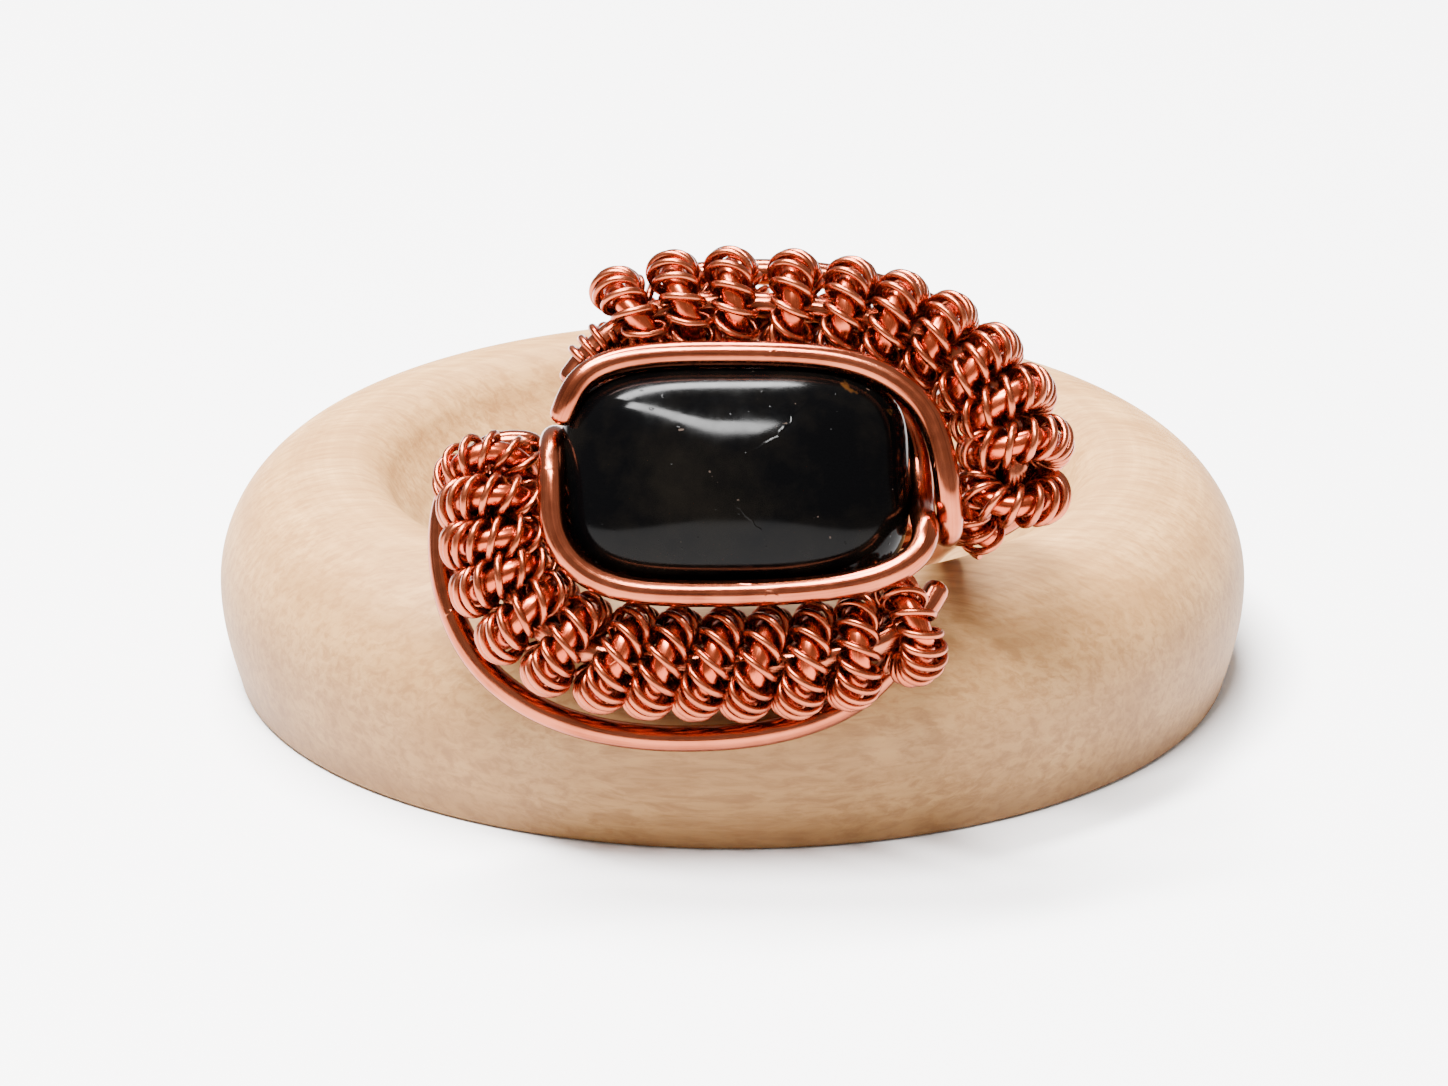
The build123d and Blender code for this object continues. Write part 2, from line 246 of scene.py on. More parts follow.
def smooth_line(pts, step):
    """A cubic spline that hugs its points, evenly resampled."""
    p = np.array(pts, float)
    q = p.copy()
    q[1:-1] -= SPLINE_HUG * (p[:-2] - 2 * p[1:-1] + p[2:])
    first = 2 * q[0] - q[1]
    last = 2 * q[-1] - q[-2]
    c = np.vstack([first, q, last])
    out = []
    t = np.linspace(0, 1, SPLINE_CUTS, endpoint=False)[:, None]
    for i in range(len(c) - 3):
        a, b, d, e = c[i], c[i + 1], c[i + 2], c[i + 3]
        out.append(((1 - t) ** 3 * a + (3 * t ** 3 - 6 * t ** 2 + 4) * b
                    + (-3 * t ** 3 + 3 * t ** 2 + 3 * t + 1) * d + t ** 3 * e) / 6)
    out.append(((c[-3] + 4 * c[-2] + c[-1]) / 6)[None, :])
    return resample(np.vstack(out), step)


def shank(side_up):
    y = side_up * PITCH
    n = SHANK_CUTS
    a = np.pi * np.arange(1, n) / n
    r = SHANK_R / (1 - (1 - math.cos(np.pi / n)) / 3 * SHANK_HUG)
    return np.stack([-r * np.cos(a), np.full(n - 1, y), -r * np.sin(a)], 1)


def whole_wire(left, right, side_up):
    return np.vstack([left[::-1], shank(side_up), right])


frame_sh = shoulder(FRAME_SHOULDER, FRAME_Z, 0)
coil_sh = shoulder(COIL_SHOULDER, COIL_Z, 1)
outer_sh = shoulder(OUTER_SHOULDER, OUTER_Z, -1)
frame_right = np.vstack([frame_sh, course(FRAME_UPPER, FRAME_X, FRAME_Y, FRAME_Z)])
frame_left = np.vstack([half_turn(frame_sh), course(FRAME_LOWER, FRAME_X, FRAME_Y, FRAME_Z)])
coil_right = np.vstack([coil_sh, course(COIL_UPPER, COIL_X, COIL_Y, COIL_Z)])
coil_left = np.vstack([half_turn(coil_sh), course(COIL_LOWER, COIL_X, COIL_Y, COIL_Z)])
outer_right = np.vstack([outer_sh, course(OUTER_UPPER, OUTER_X, OUTER_Y, OUTER_Z)])
outer_left = np.vstack([half_turn(outer_sh), course(OUTER_LOWER, OUTER_X, OUTER_Y, OUTER_Z)])


def wobble(n, step, scale, seed):
    """Smooth seeded noise along a line, in the line's own units."""
    rng = np.random.default_rng(seed)
    knots = max(int(n * step / scale) + 4, 4)
    v = rng.normal(size=(knots, 3))
    at = np.linspace(1, knots - 2, n)
    i = np.floor(at).astype(int)
    f = (at - i)[:, None]
    w = f * f * (3 - 2 * f)
    j = np.minimum(i + 1, knots - 1)
    return v[i] * (1 - w) + v[j] * w


def frames(pts):
    """Tangents and a pair of directions square to them that turn as little as they can."""
    t = unit(np.gradient(pts, axis=0))
    n = np.zeros_like(t)
    seed = np.array([0.0, 0.0, 1.0])
    if abs(t[0] @ seed) > 0.9:
        seed = np.array([0.0, 1.0, 0.0])
    n[0] = unit(seed - (seed @ t[0]) * t[0])
    for i in range(1, len(t)):
        v = n[i - 1] - (n[i - 1] @ t[i]) * t[i]
        n[i] = v / np.linalg.norm(v)
    return t, n, np.cross(t, n)


def mesh_object(name, verts, faces, material):
    mesh = bpy.data.meshes.new(name)
    mesh.from_pydata([tuple(v) for v in verts], [], faces)
    mesh.update()
    mesh.polygons.foreach_set("use_smooth", [True] * len(mesh.polygons))
    mesh.materials.append(material)
    obj = bpy.data.objects.new(name, mesh)
    bpy.context.scene.collection.objects.link(obj)
    return obj


def write_along(mesh, alongs, sides):
    """A UV layer with the turn round the wire in u and the length along it, in cm, in v."""
    layer = mesh.uv_layers.new(name="along")
    index = np.zeros(len(mesh.loops), int)
    mesh.loops.foreach_get("vertex_index", index)
    around = np.concatenate([np.tile(np.arange(sides) / sides, len(alongs)), [0.0, 0.0]])[index]
    length = np.concatenate([np.repeat(alongs, sides), [alongs[0], alongs[-1]]])[index]
    total = np.zeros(len(mesh.polygons), int)
    mesh.polygons.foreach_get("loop_total", total)
    face = np.repeat(np.arange(len(total)), total)
    widest = np.zeros(len(total))
    np.maximum.at(widest, face, around)
    around = np.where((widest[face] > 0.75) & (around < 0.25), around + 1.0, around)
    layer.data.foreach_set("uv", np.stack([around, length / 10.0], 1).ravel())


def tube(name, pts, radius, sides, material, round_end=0.25):
    """A round wire along ring points, with its cut ends slightly rounded."""
    t, n, b = frames(pts)
    count = len(pts)
    caps = []
    for k in range(1, CAP_CUTS + 1):
        a = math.pi / 2 * k / CAP_CUTS
        caps.append((1 - round_end * (1 - math.cos(a)), round_end * math.sin(a)))
    rows = [(0, share, -out) for share, out in reversed(caps)]
    rows += [(i, 1.0, 0.0) for i in range(count)]
    rows += [(count - 1, share, out) for share, out in caps]
    rings = np.array([row[0] for row in rows])
    radii = radius * np.array([row[1] for row in rows])[:, None, None]
    offs = radius * np.array([row[2] for row in rows])[:, None]
    ang = 2 * np.pi * np.arange(sides) / sides
    c, s = np.cos(ang)[None, :, None], np.sin(ang)[None, :, None]
    centre = pts[rings] + t[rings] * offs
    v = centre[:, None, :] + radii * (c * n[rings][:, None, :] + s * b[rings][:, None, :])
    m = len(rings)
    verts = list(to_world(v.reshape(-1, 3)))
    faces = []
    for i in range(m - 1):
        near, far = i * sides, (i + 1) * sides
        for k in range(sides):
            k2 = (k + 1) % sides
            faces.append((near + k, near + k2, far + k2, far + k))
    for ring, flip in ((0, True), (m - 1, False)):
        verts.append(to_world(centre[ring]))
        hub = len(verts) - 1
        base = ring * sides
        for k in range(sides):
            k2 = (k + 1) % sides
            faces.append((hub, base + k2, base + k) if flip else (hub, base + k, base + k2))
    obj = mesh_object(name, verts, faces, material)
    write_along(obj.data, run_along(pts)[rings], sides)
    return obj


def marks_to_share(turns, count):
    """Share of the route at each turn number: smooth through the listed turns."""
    turns = np.array(turns)
    slope = np.gradient(turns)
    idx = np.clip(np.floor(count).astype(int), 0, len(turns) - 2)
    f = count - idx
    inside = (f >= 0) & (f <= 1)
    fc = np.clip(f, 0, 1)
    h = ((2 * fc ** 3 - 3 * fc ** 2 + 1) * turns[idx] + (fc ** 3 - 2 * fc ** 2 + fc) * slope[idx]
         + (-2 * fc ** 3 + 3 * fc ** 2) * turns[idx + 1] + (fc ** 3 - fc ** 2) * slope[idx + 1])
    low = turns[0] + slope[0] * count
    high = turns[-1] + slope[-1] * (count - (len(turns) - 1))
    return np.where(inside, h, np.where(count < 0, low, high))


def route_frame(route, share):
    """At shares of a route: its point, the way along it, and the ways up and across it."""
    run = np.linspace(0, 1, len(route))
    centre = values_at(share, run, route)
    t = unit(values_at(share, run, unit(np.gradient(route, axis=0))))
    up = unit(np.array([0, 0, 1.0]) - t * t[:, 2:3])
    return centre, t, up, np.cross(t, up)


def coil_line(route, turns, leads, orbit, seed):
    """The left-hand coil round a route, with the route's point and turn number at each place."""
    first, last = -leads[0], len(turns) - 1 + leads[1]
    n = int((last - first) * TURN_CUTS)
    count = np.linspace(first, last, n + 1)
    slide = np.interp(count, np.arange(len(turns)), [t[1] for t in turns])
    share = marks_to_share([t[0] for t in turns], count)
    share = share + slide / run_along(route)[-1] * np.sin(2 * np.pi * count)
    centre, _, up, side = route_frame(route, share)
    shift = wobble(n + 1, 1 / TURN_CUTS, COIL_WAVE, seed)
    a = 2 * np.pi * count + COIL_SWING * shift[:, 0]
    o = orbit + COIL_SWELL * shift[:, 1]
    swing = np.cos(a)[:, None] * up - np.sin(a)[:, None] * side
    return centre + swing * o[:, None], centre, count


def fine_line(core, centre, count, seed):
    """The fine wire wound on the coiled wire, with its loops bunched on each turn's outer side."""
    bunch = np.exp(BUNCH_TIGHT * (np.cos(2 * np.pi * (count - OUTER_SIDE)) - 1))
    density = LOOPS_EVEN + LOOPS_BUNCHED * bunch
    steps = np.diff(count) * (density[1:] + density[:-1]) / 2
    loops = np.concatenate([[0], np.cumsum(steps)])
    n = int(loops[-1] * 2 * math.pi * SHOWN_LOOP_R / FINE_STEP)
    u = np.linspace(0, loops[-1], n + 1)
    place = np.arange(len(core))
    at = np.interp(u, loops, place)
    c, m = values_at(at, place, core), values_at(at, place, centre)
    t = unit(values_at(at, place, unit(np.gradient(core, axis=0))))
    out = c - m
    out = unit(out - t * np.sum(out * t, axis=1, keepdims=True))
    side = np.cross(t, out)
    w = wobble(n + 1, loops[-1] / (n + 1), FINE_WAVE, seed)
    loose = np.interp(at, place, bunch)
    a = 2 * np.pi * (u + FINE_SWING * w[:, 0])
    r = SHOWN_LOOP_R + FINE_SWELL * w[:, 1] + BUNCH_R * loose
    ca, sa = np.cos(a)[:, None], np.sin(a)[:, None]
    off = LOOP_OFF + BUNCH_OFF * loose[:, None]
    wide = LOOP_WIDE + BUNCH_WIDE * loose[:, None]
    lean = LOOP_LEAN * sa + FINE_SWAY * w[:, 2:3] * ca
    return c + out * off + r[:, None] * (LOOP_DEEP * ca * out - wide * sa * side) + t * lean


def wraps(route, first, last, loops, radius, seed):
    """A few close loops of the fine wire round the heavy wire itself."""
    n = int(loops * 2 * math.pi * radius / WRAP_STEP)
    c, t, up, side = route_frame(route, np.linspace(first, last, n + 1))
    w = wobble(n + 1, loops / (n + 1), WRAP_WAVE, seed)
    a = 2 * np.pi * np.linspace(0, loops, n + 1)
    r = (radius + WRAP_SWELL * w[:, 0])[:, None]
    swing = np.cos(a)[:, None] * up - np.sin(a)[:, None] * side
    return c + r * swing + t * (WRAP_SWAY * w[:, 1:2])


def node_tree(name):
    material = bpy.data.materials.new(name)
    material.use_nodes = True
    tree = material.node_tree
    for node in list(tree.nodes):
        tree.nodes.remove(node)
    out = tree.nodes.new("ShaderNodeOutputMaterial")
    bsdf = tree.nodes.new("ShaderNodeBsdfPrincipled")
    tree.links.new(bsdf.outputs[0], out.inputs[0])
    return material, tree, bsdf


class Maker:
    """Short calls for shader nodes."""

    def __init__(self, tree):
        self.tree = tree

    def new(self, kind, **values):
        node = self.tree.nodes.new(kind)
        for key, value in values.items():
            setattr(node, key, value)
        return node

    def put(self, socket, value):
        if hasattr(value, "is_output"):
            self.tree.links.new(value, socket)
        else:
            socket.default_value = value

    def coords(self):
        return self.new("ShaderNodeTexCoord").outputs["Object"]

    def mapping(self, vector, location=(0, 0, 0), rotation=(0, 0, 0), scale=(1, 1, 1)):
        node = self.new("ShaderNodeMapping")
        self.put(node.inputs["Vector"], vector)
        node.inputs["Location"].default_value = location
        node.inputs["Rotation"].default_value = rotation
        node.inputs["Scale"].default_value = scale
        return node.outputs[0]

    def noise(self, vector, scale, detail, rough, distortion=0.0):
        node = self.new("ShaderNodeTexNoise")
        self.put(node.inputs["Vector"], vector)
        node.inputs["Scale"].default_value = scale
        node.inputs["Detail"].default_value = detail
        node.inputs["Roughness"].default_value = rough
        node.inputs["Distortion"].default_value = distortion
        return node.outputs[0]

    def cells(self, vector, scale):
        """Distance to the nearest edge between cells."""
        node = self.new("ShaderNodeTexVoronoi", feature="DISTANCE_TO_EDGE")
        self.put(node.inputs["Vector"], vector)
        node.inputs["Scale"].default_value = scale
        return node.outputs["Distance"]

    def ramp(self, value, stops):
        node = self.new("ShaderNodeValToRGB")
        self.put(node.inputs[0], value)
        ramp = node.color_ramp
        ramp.interpolation = "LINEAR"
        while len(ramp.elements) > 1:
            ramp.elements.remove(ramp.elements[-1])
        for i, (at, colour) in enumerate(stops):
            if not hasattr(colour, "__len__"):
                colour = (colour, colour, colour)
            element = ramp.elements[0] if i == 0 else ramp.elements.new(at)
            element.position = at
            element.color = (*colour, 1.0)
        return node.outputs[0]

    def mix(self, factor, a, b, blend="MIX"):
        node = self.new("ShaderNodeMix", data_type="RGBA", blend_type=blend)
        self.put(node.inputs[0], factor)
        for socket, value in ((node.inputs[6], a), (node.inputs[7], b)):
            self.put(socket, value if hasattr(value, "is_output") else (*value, 1.0))
        return node.outputs[2]

    def math(self, op, a, b=0.0, c=0.0):
        node = self.new("ShaderNodeMath", operation=op)
        self.put(node.inputs[0], a)
        self.put(node.inputs[1], b)
        self.put(node.inputs[2], c)
        return node.outputs[0]

    def blend(self, a, share_a, b, share_b):
        """A weighted sum of two values."""
        return self.math("MULTIPLY_ADD", a, share_a, self.math("MULTIPLY", b, share_b))

    def bump(self, height, strength, distance, normal=None):
        node = self.new("ShaderNodeBump")
        node.inputs["Strength"].default_value = strength
        node.inputs["Distance"].default_value = distance
        self.put(node.inputs["Height"], height)
        if normal is not None:
            self.put(node.inputs["Normal"], normal)
        return node.outputs[0]

    def split(self, vector):
        node = self.new("ShaderNodeSeparateXYZ")
        self.put(node.inputs[0], vector)
        return node.outputs

    def join(self, x, y, z):
        node = self.new("ShaderNodeCombineXYZ")
        for socket, value in zip(node.inputs, (x, y, z)):
            self.put(socket, value)
        return node.outputs[0]


# Copper: name, pale, warm and deep colour, least and most roughness, streaks, place in the noise
COPPER_LOOKS = [
    ("copper_wire", (0.375, 0.096, 0.045), (0.300, 0.071, 0.032), (0.190, 0.041, 0.019),
     0.13, 0.23, 0.30, 1.3),
    ("copper_coil", (0.50, 0.090, 0.036), (0.43, 0.070, 0.027), (0.34, 0.050, 0.019),
     0.18, 0.30, 0.25, 4.1),
    ("copper_fine", (0.41, 0.100, 0.045), (0.345, 0.078, 0.034), (0.26, 0.054, 0.023),
     0.20, 0.32, 0.15, 7.7),
]


def copper(name, pale, warm, deep, rough_low, rough_high, streak, seed):
    """Drawn copper wire: long streaks from the die, clouded tone, small nicks and scratches."""
    material, tree, bsdf = node_tree(name)
    k = Maker(tree)
    pos = k.mapping(k.coords(), location=(seed, seed * 0.7, seed * 0.3))
    u, v, _ = k.split(k.new("ShaderNodeTexCoord").outputs["UV"])
    turn = k.math("MULTIPLY", u, 2 * math.pi)
    lengthwise = k.join(k.math("COSINE", turn), k.math("SINE", turn),
                        k.math("MULTIPLY_ADD", v, 1.6, seed))
    lines = k.noise(k.mapping(lengthwise, scale=(9.0, 9.0, 1.0)), 1.0, 5.0, 0.62)
    cloud = k.noise(pos, 420.0, 3.0, 0.55)
    tint = k.ramp(k.blend(lines, 0.45, cloud, 0.55), [(0.36, deep), (0.46, warm), (0.58, pale)])
    k.put(bsdf.inputs["Base Color"], tint)
    bsdf.inputs["Metallic"].default_value = 1.0
    grain = k.noise(pos, 2600.0, 3.0, 0.6)
    rough = k.ramp(k.blend(lines, 0.5, grain, 0.5), [(0.36, rough_low), (0.64, rough_high)])
    k.put(bsdf.inputs["Roughness"], rough)
    normal = k.bump(k.noise(pos, 800.0, 2.0, 0.5), 0.25, 0.00003)
    normal = k.bump(lines, streak, 0.00002, normal)
    scratched = k.mapping(pos, rotation=(0.3, 0.5, 0.9), scale=(1.0, 3.5, 1.0))
    nick = k.ramp(k.noise(scratched, 620.0, 2.0, 0.5), [(0.71, 0.0), (0.745, 1.0)])
    normal = k.bump(nick, 0.35, 0.00004, normal)
    k.put(bsdf.inputs["Normal"], normal)
    return material


copper_wire, copper_coil, copper_fine = [copper(*look) for look in COPPER_LOOKS]

STONE_BLACK, STONE_CLOUD = (0.0006, 0.0006, 0.0007), (0.0030, 0.0024, 0.0018)
STONE_RUST, STONE_FLECK = (0.050, 0.018, 0.004), (0.07, 0.050, 0.04)


def stone_material():
    """Black polished tourmaline with rusty flecks, fine pits and a few healed cracks."""
    material, tree, bsdf = node_tree("black_tourmaline")
    k = Maker(tree)
    pos = k.coords()
    cloud = k.noise(pos, 240.0, 5.0, 0.6)
    base = k.ramp(cloud, [(0.45, STONE_BLACK), (0.72, STONE_CLOUD)])
    rust = k.ramp(k.noise(pos, 330.0, 4.0, 0.65), [(0.675, 0.0), (0.72, 1.0)])
    base = k.mix(k.math("MULTIPLY", rust, 0.6), base, STONE_RUST)
    fleck = k.ramp(k.noise(pos, 1900.0, 2.0, 0.5), [(0.745, 0.0), (0.77, 1.0)])
    base = k.mix(k.math("MULTIPLY", fleck, 0.6), base, STONE_FLECK)
    k.put(bsdf.inputs["Base Color"], base)
    bsdf.inputs["IOR"].default_value = 1.64
    bsdf.inputs["Specular IOR Level"].default_value = 0.036
    rough = k.ramp(k.noise(pos, 700.0, 4.0, 0.65), [(0.35, 0.09), (0.75, 0.19)])
    k.put(bsdf.inputs["Roughness"], rough)
    normal = k.bump(k.noise(pos, 300.0, 3.0, 0.5), 0.16, 0.00008)
    warp = k.noise(pos, 500.0, 3.0, 0.6)
    x, y, z = k.split(k.mapping(pos, rotation=(0.4, 0.2, 0.7)))
    warped = k.join(k.math("MULTIPLY_ADD", warp, 0.0012, x),
                    k.math("MULTIPLY_ADD", warp, 0.0012, y), z)
    line = k.ramp(k.cells(warped, 170.0), [(0.0, 1.0), (0.012, 0.0)])
    sparse = k.ramp(k.noise(pos, 200.0, 2.0, 0.5), [(0.56, 0.0), (0.62, 1.0)])
    normal = k.bump(k.math("MULTIPLY", line, sparse), 0.2, 0.00004, normal)
    pits = k.ramp(k.noise(pos, 2100.0, 1.0, 0.5), [(0.74, 0.0), (0.78, 1.0)])
    normal = k.bump(pits, 0.4, 0.00003, normal)
    k.put(bsdf.inputs["Normal"], normal)
    return material


WOOD_DULL, WOOD_BRIGHT = (0.365, 0.194, 0.070), (0.510, 0.300, 0.124)
WOOD_FIBRE, WOOD_RING = (0.235, 0.105, 0.034), (0.235, 0.115, 0.040)

# Painted shade and light on the wood, by height in cm: darker low down and lighter near the crest,
# with the height taken a little lower towards the front
WOOD_PAINTED_LIGHT_AND_SHADE = [
    (0.0, (0.60, 0.56, 0.50)), (0.30, (0.66, 0.62, 0.57)), (0.50, (0.78, 0.75, 0.70)),
    (0.72, (1.02, 1.00, 0.97)), (0.95, (1.16, 1.12, 1.05)),
]
PAINTED_SHADE_LEAN, CM_IN_M = 0.12, 100.0


def wood_material():
    """Pale turned wood: wavy fibres across it, the tool's rings round its axis, and painted shade
    towards its foot and front with painted light near its crest.
    """
    material, tree, bsdf = node_tree("turned_wood")
    k = Maker(tree)
    pos = k.coords()
    bend = k.noise(pos, 55.0, 2.0, 0.5)
    x, y, z = k.split(pos)
    wavy = k.join(k.math("MULTIPLY_ADD", bend, 0.0012, x), k.math("MULTIPLY_ADD", bend, 0.0024, y),
                  k.math("MULTIPLY_ADD", bend, 0.0012, z))
    grain = k.noise(k.mapping(wavy, scale=(320.0, 2600.0, 2200.0)), 1.0, 6.0, 0.68, 0.5)
    broad = k.noise(k.mapping(wavy, scale=(45.0, 300.0, 240.0)), 1.0, 4.0, 0.6)
    radius = k.math("SQRT", k.math("MULTIPLY_ADD", x, x, k.math("MULTIPLY", y, y)))
    turned = k.join(k.math("MULTIPLY", radius, 900.0), k.math("MULTIPLY", z, 500.0), 0.0)
    ring = k.noise(turned, 1.0, 4.0, 0.6)
    base = k.mix(k.ramp(broad, [(0.30, 0.0), (0.70, 1.0)]), WOOD_DULL, WOOD_BRIGHT)
    fibre = k.ramp(grain, [(0.38, 1.0), (0.58, 0.0)])
    base = k.mix(k.math("MULTIPLY", fibre, 0.62), base, WOOD_FIBRE)
    cut = k.ramp(ring, [(0.40, 1.0), (0.60, 0.0)])
    base = k.mix(k.math("MULTIPLY", cut, 0.42), base, WOOD_RING)
    # Painted shade and light: the wood's colour is darkened towards its foot and front and
    # lightened near its crest
    height = k.math("MULTIPLY_ADD", y, PAINTED_SHADE_LEAN, z)
    painted_shade_ramp = k.ramp(k.math("MULTIPLY", height, CM_IN_M), WOOD_PAINTED_LIGHT_AND_SHADE)
    k.put(bsdf.inputs["Base Color"], k.mix(1.0, base, painted_shade_ramp, "MULTIPLY"))
    bsdf.inputs["Roughness"].default_value = 0.58
    bsdf.inputs["IOR"].default_value = 1.4
    bsdf.inputs["Specular IOR Level"].default_value = 0.35
    normal = k.bump(grain, 0.35, 0.00005)
    k.put(bsdf.inputs["Normal"], k.bump(ring, 0.25, 0.00006, normal))
    return material


tourmaline = stone_material()
wood = wood_material()

# Points round each wire, and how far its cut ends are rounded
WIRE_SIDES, CORE_SIDES, FINE_SIDES, WRAP_SIDES = 40, 28, 8, 10
WIRE_END, CORE_END = 0.75, 0.6

# The heavy wires
frame_line = smooth_line(whole_wire(frame_left, frame_right, 0), LINE_STEP)
upper_arm_line = smooth_line(whole_wire(outer_left, coil_right, 1), LINE_STEP)
lower_arm_line = smooth_line(whole_wire(coil_left, outer_right, -1), LINE_STEP)

for name, line, node in (
    ("frame_wire_bent", frame_line, "frame_wire"),
    ("upper_arm_wire_bent", upper_arm_line, "upper_arm_wire"),
    ("lower_arm_wire_bent", lower_arm_line, "lower_arm_wire"),
):
    obj = tube(name, line, WIRE_R, WIRE_SIDES, copper_wire, WIRE_END)
    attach(obj, "root")
    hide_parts(node)

# The coils
for name, points, turns, leads, node, seed in (
    ("upper", coil_right, UPPER_TURNS, UPPER_LEADS, "upper_coil_core", 11),
    ("lower", coil_left, LOWER_TURNS, LOWER_LEADS, "lower_coil_core", 23),
):
    route = smooth_line(points, ROUTE_STEP)
    core, centre, count = coil_line(route, turns, leads, CORE_ORBIT, seed)
    line = resample(core, LINE_STEP)
    obj = tube(name + "_coil_core_bent", line, CORE_D / 2, CORE_SIDES, copper_coil, CORE_END)
    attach(obj, "root")
    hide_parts(node)
    thin = fine_line(core, centre, count, seed + 1)
    obj = tube(name + "_fine_wire", thin, SHOWN_FINE_R, FINE_SIDES, copper_fine)
    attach(obj, "root")

# The fine wire's last loops, close round the upper arm's end: shares of the route, and loops
WRAP_FIRST, WRAP_LAST, WRAP_LOOPS, WRAP_GAP, WRAP_SEED = 0.928, 0.976, 3.0, 0.02, 31
ending = wraps(smooth_line(coil_right, ROUTE_STEP), WRAP_FIRST, WRAP_LAST, WRAP_LOOPS,
               WIRE_R + SHOWN_FINE_R + WRAP_GAP, WRAP_SEED)
obj = tube("upper_fine_end", ending, SHOWN_FINE_R, WRAP_SIDES, copper_fine)
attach(obj, "root")


# The stone
STONE_AROUND, STONE_DOWN = 240, 130


def make_stone():
    """A tumbled slab whose girth lies below its middle."""
    a, b = SHOWN_STONE_L / 2, SHOWN_STONE_W / 2
    girth = FRAME_Z - STONE_DROP - STONE_GIRTH
    above = STONE_H / 2 + STONE_GIRTH
    below = STONE_H / 2 - STONE_GIRTH
    verts = []
    for j in range(1, STONE_DOWN):
        v = math.pi * j / STONE_DOWN
        sv, cv = math.sin(v), math.cos(v)
        c, puff = (above, PUFF_ABOVE) if cv > 0 else (below, PUFF_BELOW)
        radial = abs(sv) ** (2 / puff)
        up = math.copysign(abs(cv) ** (2 / puff), cv)
        for i in range(STONE_AROUND):
            u = 2 * math.pi * i / STONE_AROUND
            cu, su = math.cos(u), math.sin(u)
            flat = (abs(cu) ** STONE_PLAN + abs(su) ** STONE_PLAN) ** (-1 / STONE_PLAN)
            verts.append((SHOWN_STONE_SHIFT + a * flat * cu * radial,
                          b * flat * su * radial, girth + c * up))
    top = len(verts)
    verts.append((SHOWN_STONE_SHIFT, 0, girth + above))
    verts.append((SHOWN_STONE_SHIFT, 0, girth - below))
    faces = []
    for j in range(STONE_DOWN - 2):
        near, far = j * STONE_AROUND, (j + 1) * STONE_AROUND
        for i in range(STONE_AROUND):
            i2 = (i + 1) % STONE_AROUND
            faces.append((near + i, far + i, far + i2, near + i2))
    low = (STONE_DOWN - 2) * STONE_AROUND
    for i in range(STONE_AROUND):
        i2 = (i + 1) % STONE_AROUND
        faces.append((top, i, i2))
        faces.append((top + 1, low + i2, low + i))
    return mesh_object("polished_stone", to_world(np.array(verts)), faces, tourmaline)


stone = make_stone()
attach(stone, "root")
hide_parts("stone")


# The dish
DISH_SEGMENTS, FOOT_CUTS, SIDE_CUTS, RIM_CUTS, LIP_CUTS, HOLLOW_CUTS = 320, 6, 12, 40, 20, 40


def arc_points(centre, radius, start, end, n):
    """Points on an arc after its first one."""
    t = np.linspace(start, end, n)[1:]
    return [(centre[0] + radius * math.cos(a), centre[1] + radius * math.sin(a)) for a in t]


def dish_profile():
    wide = DISH_D / 2
    foot = wide - DISH_FOOT_INSET
    drop = DISH_H - DISH_FLOOR_H
    run = DISH_CREST_R - DISH_FLOOR_R
    hollow = (run ** 2 + drop ** 2) / (2 * drop) - DISH_LIP_R
    hollow_z = DISH_FLOOR_H + hollow
    lean = math.atan2(run, hollow_z - (DISH_H - DISH_LIP_R))
    quarter = math.pi / 2
    foot_r = foot - DISH_FOOT_ROUND
    pts = [(foot_r, 0.0)]
    pts += arc_points((foot_r, DISH_FOOT_ROUND), DISH_FOOT_ROUND, -quarter, 0, FOOT_CUTS)
    for i in range(1, SIDE_CUTS + 1):
        s = i / SIDE_CUTS
        pts.append((foot + DISH_FOOT_INSET * math.sin(s * quarter),
                    DISH_FOOT_ROUND + (DISH_WIDE_Z - DISH_FOOT_ROUND) * s))
    rim_x, rim_z = wide - DISH_CREST_R, DISH_H - DISH_WIDE_Z
    for a in np.linspace(0, quarter, RIM_CUTS)[1:]:
        pts.append((DISH_CREST_R + rim_x * math.cos(a), DISH_WIDE_Z + rim_z * math.sin(a)))
    lip = (DISH_CREST_R, DISH_H - DISH_LIP_R)
    pts += arc_points(lip, DISH_LIP_R, quarter, quarter + lean, LIP_CUTS)
    pts += arc_points((DISH_FLOOR_R, hollow_z), hollow, -quarter + lean, -quarter, HOLLOW_CUTS)
    return pts


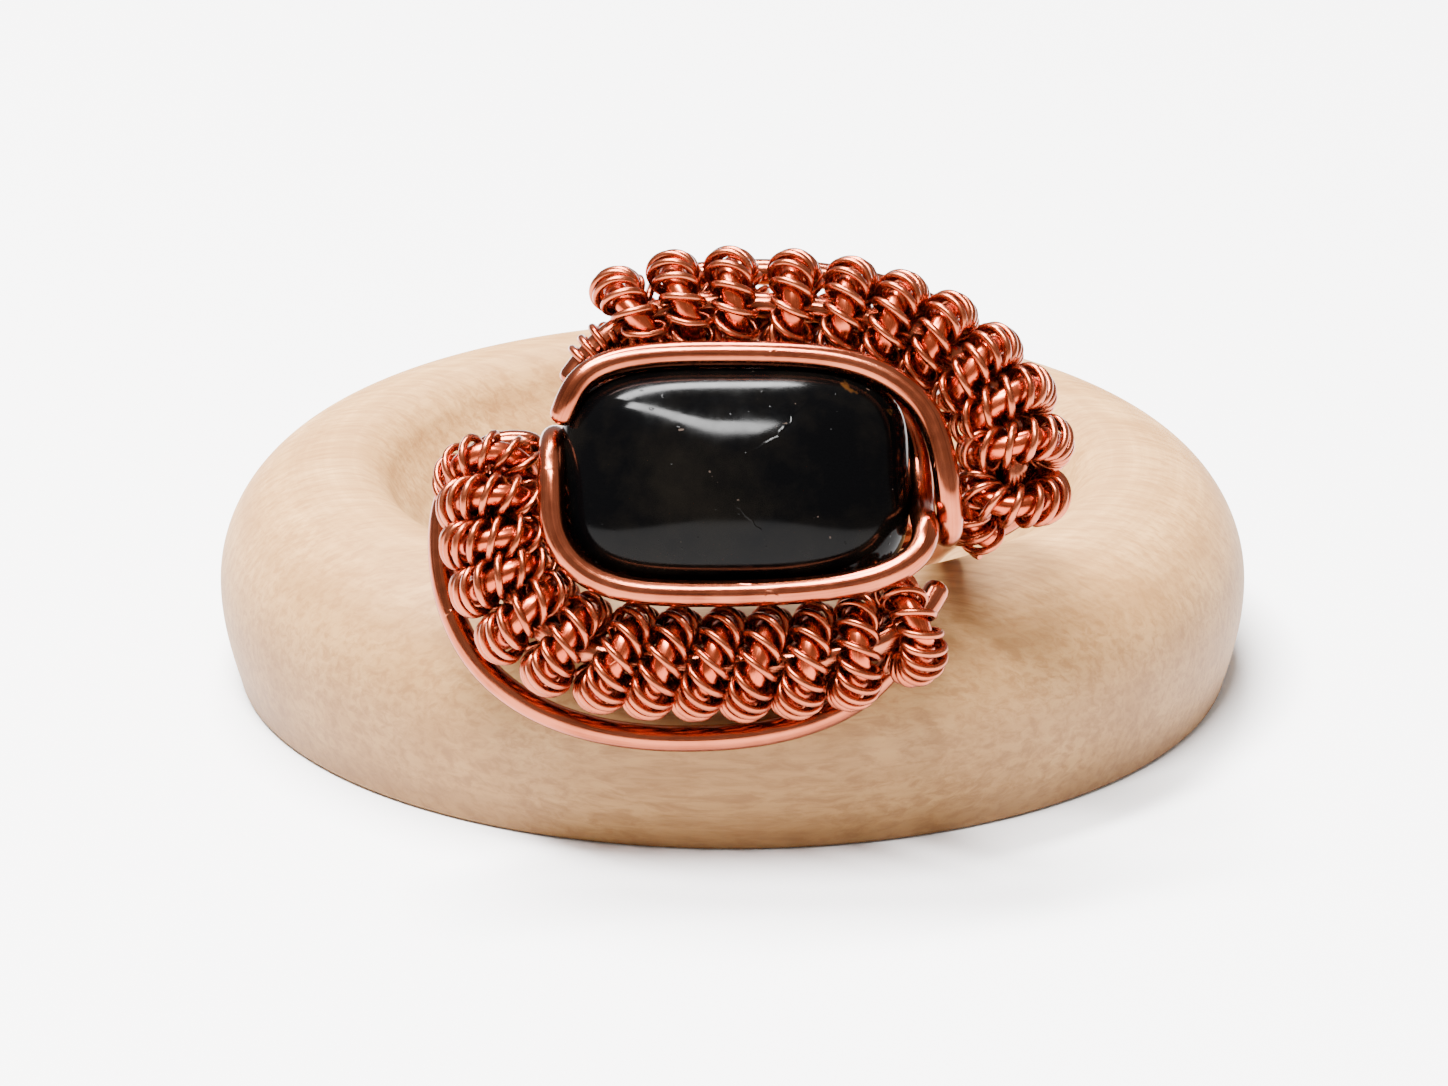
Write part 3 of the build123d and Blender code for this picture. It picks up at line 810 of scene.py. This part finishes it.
def make_dish():
    profile = dish_profile()
    seg = DISH_SEGMENTS
    verts, faces = [], []
    for r, z in profile:
        for i in range(seg):
            a = 2 * math.pi * i / seg
            verts.append((r * math.cos(a) * MM, r * math.sin(a) * MM, z * MM))
    m = len(profile)
    for j in range(m - 1):
        for i in range(seg):
            i2 = (i + 1) % seg
            faces.append((j * seg + i, j * seg + i2, (j + 1) * seg + i2, (j + 1) * seg + i))
    verts.append((0, 0, 0))
    verts.append((0, 0, DISH_FLOOR_H * MM))
    hub = len(verts) - 2
    for i in range(seg):
        i2 = (i + 1) % seg
        faces.append((hub, i2, i))
        faces.append((hub + 1, (m - 1) * seg + i, (m - 1) * seg + i2))
    return mesh_object("turned_dish", verts, faces, wood)


dish = make_dish()
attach(dish, "root")
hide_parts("dish")


# The floor
FLOOR_DARK, FLOOR_PALE = (0.86, 0.85, 0.85), (0.88, 0.87, 0.87)
FLOOR_REACH = 3


def floor_material():
    material, tree, bsdf = node_tree("pale_floor")
    k = Maker(tree)
    cloud = k.noise(k.coords(), 3.0, 2.0, 0.5)
    k.put(bsdf.inputs["Base Color"], k.ramp(cloud, [(0.3, FLOOR_DARK), (0.7, FLOOR_PALE)]))
    bsdf.inputs["Roughness"].default_value = 0.9
    return material


corners = [(x * FLOOR_REACH, y * FLOOR_REACH, 0) for x, y in ((-1, -1), (1, -1), (1, 1), (-1, 1))]
floor = mesh_object("floor", corners, [(0, 1, 2, 3)], floor_material())

# The strip lights: name, place in m, power in W
STRIPS = [
    ("front_strip", (-0.13, -0.19, 0.60), 21.0),
    ("rear_strip", (-0.13, 0.18, 0.60), 19.0),
]
STRIP_L, STRIP_W = 0.44, 0.09
LIT_SPOT = (0, -0.02, 0.01)
WORLD_COLOUR, WORLD_STRENGTH = (1.0, 0.97, 0.95, 1.0), 0.6

for name, place, power in STRIPS:
    data = bpy.data.lights.new(name, "AREA")
    data.shape = "RECTANGLE"
    data.size = STRIP_L
    data.size_y = STRIP_W
    data.energy = power
    light = bpy.data.objects.new(name, data)
    bpy.context.scene.collection.objects.link(light)
    light.location = place
    direction = Vector(LIT_SPOT) - Vector(place)
    light.rotation_euler = direction.to_track_quat("-Z", "Y").to_euler()

world = bpy.data.worlds.new("studio")
bpy.context.scene.world = world
world.use_nodes = True
world.node_tree.nodes["Background"].inputs[0].default_value = WORLD_COLOUR
world.node_tree.nodes["Background"].inputs[1].default_value = WORLD_STRENGTH
